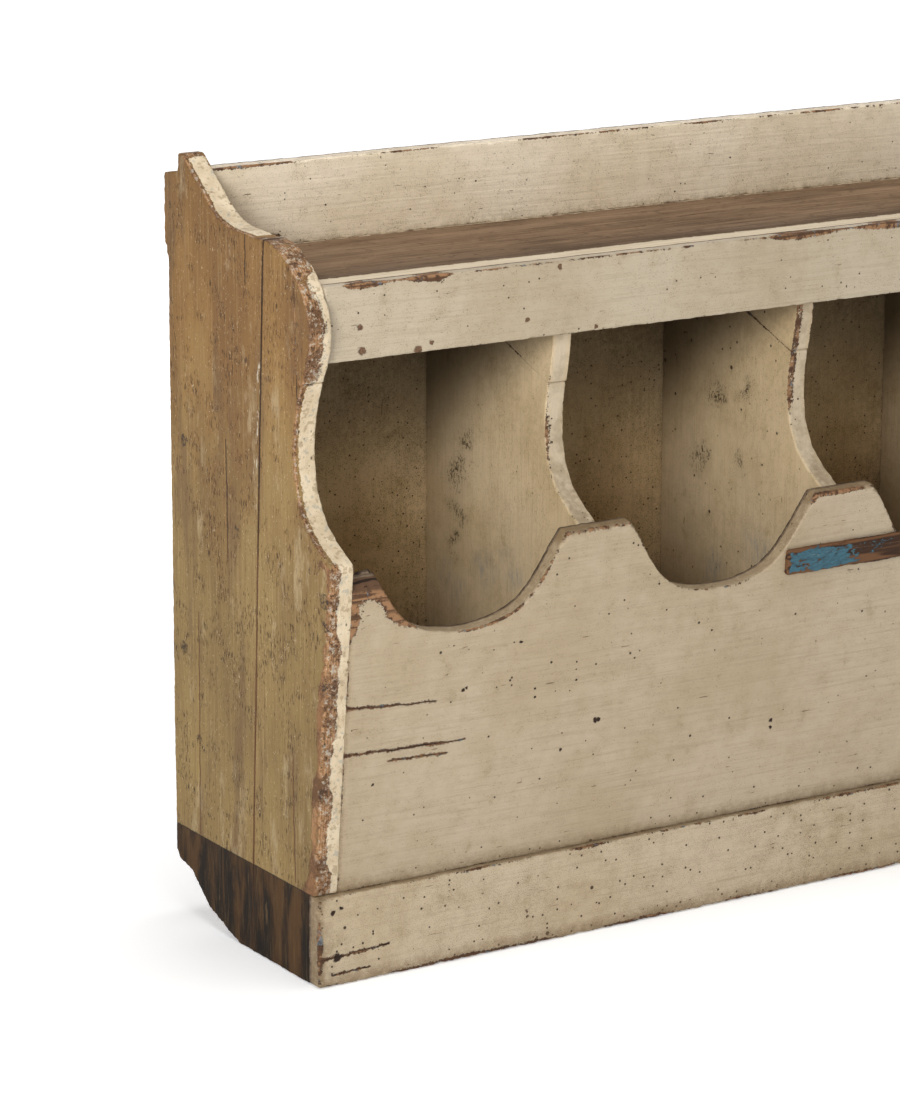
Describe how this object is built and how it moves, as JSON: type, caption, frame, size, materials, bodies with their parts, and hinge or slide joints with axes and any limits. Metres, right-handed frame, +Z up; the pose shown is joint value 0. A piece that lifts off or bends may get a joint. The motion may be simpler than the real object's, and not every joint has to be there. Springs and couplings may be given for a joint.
{
  "type": "open bin unit",
  "caption": "Long narrow floor-standing wooden bin unit: a row of open-fronted bins behind one leaning scalloped front panel, under a shelf with a low back rail.",
  "frame": {"origin": "middle of the footprint on the floor, halfway along and halfway through the depth", "axes": "+X along the unit towards the end away from the damaged foot, +Y from the bin openings towards the back, +Z up"},
  "size_m": [1.513, 0.321, 0.788],
  "materials": {
    "cream_paint": "old cream oil paint over blue-grey undercoat on pine, chipped at the edges",
    "ochre_side_paint": "thin worn ochre paint rubbed down to open pine grain",
    "bare_shelf_wood": "bare dark stained board, matt",
    "raw_pine": "unpainted aged pine, matt",
    "blue_paint": "worn blue paint over brown wood",
    "iron_nail": "rusted cut nails"
  },
  "bodies": {
    "root": {"fascia_rail": "cream_paint", "backsplash_board": "cream_paint", "front_panel": "cream_paint", "plinth_board": "cream_paint", "divider_1": "cream_paint", "divider_2": "cream_paint", "divider_3": "cream_paint", "divider_4": "cream_paint", "corner_block_1": "cream_paint", "corner_block_2": "cream_paint", "corner_block_3": "cream_paint", "corner_block_4": "cream_paint", "back_board_1": "cream_paint", "back_board_2": "cream_paint", "back_board_3": "cream_paint", "back_board_4": "cream_paint", "back_board_5": "cream_paint", "side_left_rear_board": "ochre_side_paint", "side_left_front_board": "ochre_side_paint", "side_left_nose_block": "ochre_side_paint", "side_right_rear_board": "ochre_side_paint", "side_right_front_board": "ochre_side_paint", "side_right_nose_block": "ochre_side_paint", "shelf_board": "bare_shelf_wood", "floor_board": "raw_pine", "floor_cleat_left": "raw_pine", "floor_cleat_right": "raw_pine", "front_batten": "blue_paint", "nails_front_panel": "iron_nail", "nails_fascia": "iron_nail", "nails_shelf": "iron_nail", "nails_plinth": "iron_nail", "nails_batten": "iron_nail"}
  },
  "joints": []
}
